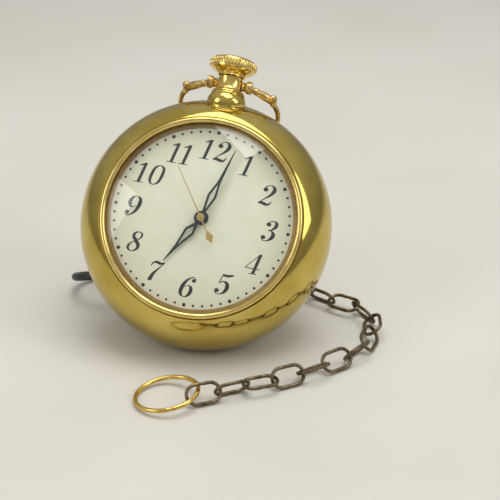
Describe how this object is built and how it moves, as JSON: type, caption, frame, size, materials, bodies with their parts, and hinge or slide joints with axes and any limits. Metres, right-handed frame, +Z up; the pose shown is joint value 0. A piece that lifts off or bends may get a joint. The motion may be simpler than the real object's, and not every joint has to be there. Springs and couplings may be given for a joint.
{
  "type": "pocket watch shaped electric table clock",
  "caption": "Oversized gilt pocket-watch shaped electric clock that leans back on its case, with dial, hands, hinged bow, chain, end ring and mains lead.",
  "frame": {"origin": "centre of the underside of the bounding box of everything but the mains lead, its coil and its plug", "axes": "+Z up, the dial faces -Y and leans back, +X to the right as the dial is read"},
  "size_m": [0.2209, 0.2938, 0.1804],
  "materials": {
    "gilt_case": "polished, gilt, slightly worn",
    "bright_gilt": "polished, gilt",
    "bronze_chain": "satin, darkened with age",
    "clear_glass": "polished",
    "dark_reveal": "satin, brown",
    "printed_dial": "matt ivory print",
    "steel": "brushed",
    "black_rubber": "smooth",
    "black_moulding": "satin",
    "plate_brass": "brushed",
    "laminated_iron": "dark, laminated",
    "coil_tape": "varnished tape",
    "black_paint": "satin black"
  },
  "bodies": {
    "case": {"dial": "printed_dial", "front_case": "gilt_case", "back_case": "gilt_case", "glass_bead_ring": "bright_gilt", "domed_glass": "clear_glass", "dial_frame_ring": "dark_reveal", "pendant_collar": "gilt_case", "pendant_neck": "bright_gilt", "winding_crown": "bright_gilt", "bow_pin_left": "bright_gilt", "bow_pin_right": "bright_gilt", "motor_drum": "gilt_case", "drum_screw_1": "steel", "drum_screw_2": "steel", "drum_screw_3": "steel", "strain_relief": "black_rubber", "back_plate": "plate_brass", "front_plate": "plate_brass", "field_core": "laminated_iron", "field_coil": "coil_tape", "rotor_can": "steel", "chain_link_07": "bronze_chain", "chain_link_08": "bronze_chain", "mains_cord": "black_rubber", "cord_coil": "black_rubber", "plug": "black_moulding"},
    "second_hand_arbor": {"seconds_arbor": "steel", "second_hand": "bright_gilt"},
    "intermediate_arbor": {"intermediate_wheel": "plate_brass"},
    "minute_arbor": {"cannon_pinion": "steel", "centre_wheel": "plate_brass", "minute_hand": "black_paint"},
    "minute_wheel": {"minute_wheel": "plate_brass"},
    "hour_pipe": {"hour_wheel": "plate_brass", "hour_hand": "black_paint"},
    "setting": {"setting_arbor": "steel", "setting_knob": "black_moulding"},
    "rotor": {"rotor_disc": "laminated_iron"},
    "output_pinion": {"motor_pinion": "steel"},
    "bow": {"bow": "bright_gilt"},
    "chain_top": {"chain_link_01": "bronze_chain", "chain_link_02": "bronze_chain", "chain_link_03": "bronze_chain", "chain_link_04": "bronze_chain", "chain_link_05": "bronze_chain"},
    "chain_foot": {"chain_link_06": "bronze_chain"},
    "link_09": {"chain_link_09": "bronze_chain"},
    "link_10": {"chain_link_10": "bronze_chain"},
    "link_11": {"chain_link_11": "bronze_chain"},
    "link_12": {"chain_link_12": "bronze_chain"},
    "link_13": {"chain_link_13": "bronze_chain"},
    "link_14": {"chain_link_14": "bronze_chain"},
    "link_15": {"chain_link_15": "bronze_chain"},
    "link_16": {"chain_link_16": "bronze_chain"},
    "link_17": {"chain_link_17": "bronze_chain"},
    "link_18": {"chain_link_18": "bronze_chain"},
    "link_19": {"chain_link_19": "bronze_chain"},
    "link_20": {"chain_link_20": "bronze_chain"},
    "link_21": {"chain_link_21": "bronze_chain"},
    "end_ring": {"end_ring": "bright_gilt"}
  },
  "joints": [
    {"name": "second_hand_turn", "type": "hinge", "parent": "case", "child": "second_hand_arbor", "pos_m": [-0.01812, 0.01422, 0.07361], "axis": [0, 0.8339, -0.5519], "continuous": true},
    {"name": "intermediate_turn", "type": "hinge", "parent": "case", "child": "intermediate_arbor", "pos_m": [-0.00054, 0.0182, 0.07962], "axis": [0, 0.8339, -0.5519], "continuous": true},
    {"name": "minute_hand_turn", "type": "hinge", "parent": "case", "child": "minute_arbor", "pos_m": [-0.01812, 0.01422, 0.07361], "axis": [0, 0.8339, -0.5519], "continuous": true},
    {"name": "minute_wheel_turn", "type": "hinge", "parent": "case", "child": "minute_wheel", "pos_m": [-0.02999, 0.01929, 0.08125], "axis": [0, 0.8339, -0.5519], "continuous": true},
    {"name": "hour_hand_turn", "type": "hinge", "parent": "case", "child": "hour_pipe", "pos_m": [-0.01812, 0.01422, 0.07361], "axis": [0, 0.8339, -0.5519], "continuous": true},
    {"name": "setting_knob_turn", "type": "hinge", "parent": "case", "child": "setting", "pos_m": [-0.04485, 0.02039, 0.08293], "axis": [0, 0.8339, -0.5519], "continuous": true},
    {"name": "output_pinion_turn", "type": "hinge", "parent": "case", "child": "output_pinion", "pos_m": [-0.02101, 0.00241, 0.05576], "axis": [0, 0.8339, -0.5519], "continuous": true},
    {"name": "rotor_turn", "type": "hinge", "parent": "case", "child": "rotor", "pos_m": [-0.02101, 0.00241, 0.05576], "axis": [0, 0.8339, -0.5519], "continuous": true},
    {"name": "bow_hinge", "type": "hinge", "parent": "case", "child": "bow", "pos_m": [-0.00562, 0.05358, 0.15843], "axis": [0.991, -0.074, -0.1117], "range_deg": [-2, 2]},
    {"name": "chain_top_swing", "type": "hinge", "parent": "bow", "child": "chain_top", "pos_m": [-0.00988, 0.07862, 0.10407], "axis": [0.991, -0.074, -0.1117], "range_deg": [-4, 4]},
    {"name": "chain_foot_lift", "type": "hinge", "parent": "case", "child": "chain_foot", "pos_m": [0.01018, 0.09365, 0.00828], "axis": [0.5605, 0.8282, 0], "range_deg": [-2, 2]},
    {"name": "link_09_swing", "type": "hinge", "parent": "case", "child": "link_09", "pos_m": [0.03731, 0.06699, 0.00655], "axis": [0, 0, 1], "range_deg": [-1, 2]},
    {"name": "link_10_swing", "type": "hinge", "parent": "link_09", "child": "link_10", "pos_m": [0.05035, 0.05307, 0.00661], "axis": [0, 0, 1], "range_deg": [-1, 2]},
    {"name": "link_11_swing", "type": "hinge", "parent": "link_10", "child": "link_11", "pos_m": [0.06617, 0.04245, 0.00661], "axis": [0, 0, 1], "range_deg": [-1, 6]},
    {"name": "link_12_swing", "type": "hinge", "parent": "link_11", "child": "link_12", "pos_m": [0.0829, 0.03336, 0.00661], "axis": [0, 0, 1], "range_deg": [-1, 6]},
    {"name": "link_13_swing", "type": "hinge", "parent": "link_12", "child": "link_13", "pos_m": [0.09402, 0.0179, 0.00661], "axis": [0, 0, 1], "range_deg": [-1, 6]},
    {"name": "link_14_swing", "type": "hinge", "parent": "link_13", "child": "link_14", "pos_m": [0.09563, -0.0011, 0.00661], "axis": [0, 0, 1], "range_deg": [-1, 6]},
    {"name": "link_15_swing", "type": "hinge", "parent": "link_14", "child": "link_15", "pos_m": [0.09064, -0.0195, 0.00661], "axis": [0, 0, 1], "range_deg": [-1, 6]},
    {"name": "link_16_swing", "type": "hinge", "parent": "link_15", "child": "link_16", "pos_m": [0.07981, -0.03517, 0.00661], "axis": [0, 0, 1], "range_deg": [-1, 6]},
    {"name": "link_17_swing", "type": "hinge", "parent": "link_16", "child": "link_17", "pos_m": [0.06547, -0.04765, 0.00661], "axis": [0, 0, 1], "range_deg": [-2, 6]},
    {"name": "link_18_swing", "type": "hinge", "parent": "link_17", "child": "link_18", "pos_m": [0.05072, -0.05967, 0.00661], "axis": [0, 0, 1], "range_deg": [-2, 6]},
    {"name": "link_19_swing", "type": "hinge", "parent": "link_18", "child": "link_19", "pos_m": [0.03432, -0.06943, 0.00661], "axis": [0, 0, 1], "range_deg": [-2, 6]},
    {"name": "link_20_swing", "type": "hinge", "parent": "link_19", "child": "link_20", "pos_m": [0.017, -0.07735, 0.00661], "axis": [0, 0, 1], "range_deg": [-2, 6]},
    {"name": "link_21_swing", "type": "hinge", "parent": "link_20", "child": "link_21", "pos_m": [0.00011, -0.08607, 0.00661], "axis": [0, 0, 1], "range_deg": [-2, 6]},
    {"name": "end_ring_swing", "type": "hinge", "parent": "link_21", "child": "end_ring", "pos_m": [-0.01708, -0.09416, 0.00661], "axis": [0, 0, 1], "range_deg": [-4, 15]}
  ],
  "couplings": [
    {"joint": "intermediate_turn", "follows": "second_hand_turn", "ratio": -0.13333},
    {"joint": "minute_hand_turn", "follows": "second_hand_turn", "ratio": 0.016667},
    {"joint": "minute_wheel_turn", "follows": "second_hand_turn", "ratio": -0.0055556},
    {"joint": "hour_hand_turn", "follows": "second_hand_turn", "ratio": 0.0013889},
    {"joint": "setting_knob_turn", "follows": "second_hand_turn", "ratio": 0.016667},
    {"joint": "output_pinion_turn", "follows": "second_hand_turn", "ratio": -3},
    {"joint": "chain_top_swing", "follows": "bow_hinge", "ratio": -1.66},
    {"joint": "chain_foot_lift", "follows": "bow_hinge", "ratio": 0.577}
  ]
}
